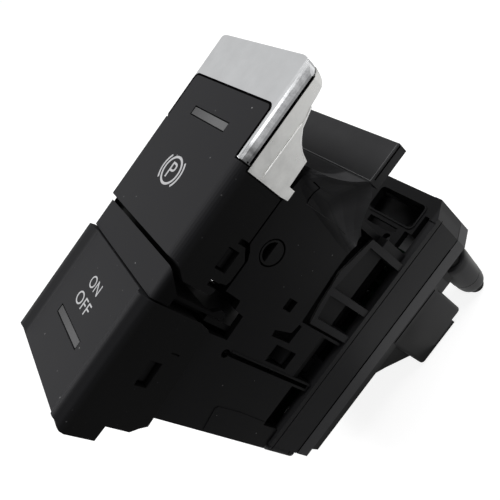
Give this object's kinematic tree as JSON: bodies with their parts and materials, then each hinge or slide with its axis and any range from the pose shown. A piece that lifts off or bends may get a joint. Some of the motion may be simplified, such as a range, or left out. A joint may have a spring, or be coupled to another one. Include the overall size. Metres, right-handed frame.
{
  "type": "electric parking brake switch",
  "caption": "Console switch with a sprung parking brake rocker, a bright finger grip and a second push button, in a moulded housing.",
  "frame": {"origin": "on the flat back of the rear cover, below the joint between the two buttons", "axes": "+X across the switch to the side with the plug's keys, +Y towards the finger end, +Z out of the button faces"},
  "size_m": [0.04, 0.0692, 0.0796],
  "materials": {
    "soft_black": "soft-touch paint",
    "moulded_black": "fine grain",
    "cover_black": "fine grain",
    "carrier_black": "plain",
    "bright_chrome": "satin bright",
    "satin_chrome": "satin",
    "lens_grey": "smoked",
    "board_green": "solder resist",
    "pin_tin": "tin plate",
    "spring_steel": "drawn wire",
    "lamp_white": "plain",
    "guide_clear": "clear plastic",
    "dome_grey": "silicone",
    "contact_ivory": "plain"
  },
  "bodies": {
    "switch_base": {"housing": "moulded_black", "base_frame": "moulded_black", "rear_cover": "cover_black", "divider_bar": "soft_black", "circuit_board": "board_green", "contact_base": "contact_ivory", "hold_dome": "dome_grey", "brake_spring_low": "spring_steel", "brake_spring_high": "spring_steel", "brake_light_guide": "guide_clear", "hold_light_guide": "guide_clear", "lamp_1": "lamp_white", "lamp_2": "lamp_white", "lamp_3": "lamp_white", "lamp_4": "lamp_white", "pin_1": "pin_tin", "pin_2": "pin_tin", "pin_3": "pin_tin", "pin_4": "pin_tin", "pin_5": "pin_tin", "pin_6": "pin_tin", "pin_7": "pin_tin", "pin_8": "pin_tin"},
    "brake_button": {"brake_cap": "soft_black", "chrome_trim": "bright_chrome", "pull_plate": "satin_chrome", "brake_lens": "lens_grey", "brake_rocker": "carrier_black"},
    "hold_button": {"hold_cap": "soft_black", "hold_lens": "lens_grey", "hold_slider": "carrier_black"},
    "contact_carriage": {"contact_slider": "carrier_black"}
  },
  "joints": [
    {"name": "brake_pull", "type": "hinge", "parent": "switch_base", "child": "brake_button", "pos_m": [0, 0.0085, 0.0486], "axis": [1, 0, 0], "range_deg": [-3, 3.4], "stiffness_Nm_per_rad": 2.2, "deforming": ["brake_spring_low", "brake_spring_high"]},
    {"name": "hold_press", "type": "slide", "parent": "switch_base", "child": "hold_button", "axis": [0, 0, -1], "range_m": [0, 0.0012], "stiffness_N_per_m": 3000, "deforming": ["hold_dome"]},
    {"name": "contact_slide", "type": "slide", "parent": "switch_base", "child": "contact_carriage", "axis": [0, 1, 0], "range_m": [-0.0023, 0.0023]}
  ],
  "couplings": [
    {"joint": "contact_slide", "follows": "brake_pull", "m_per_rad": 0.0337}
  ]
}
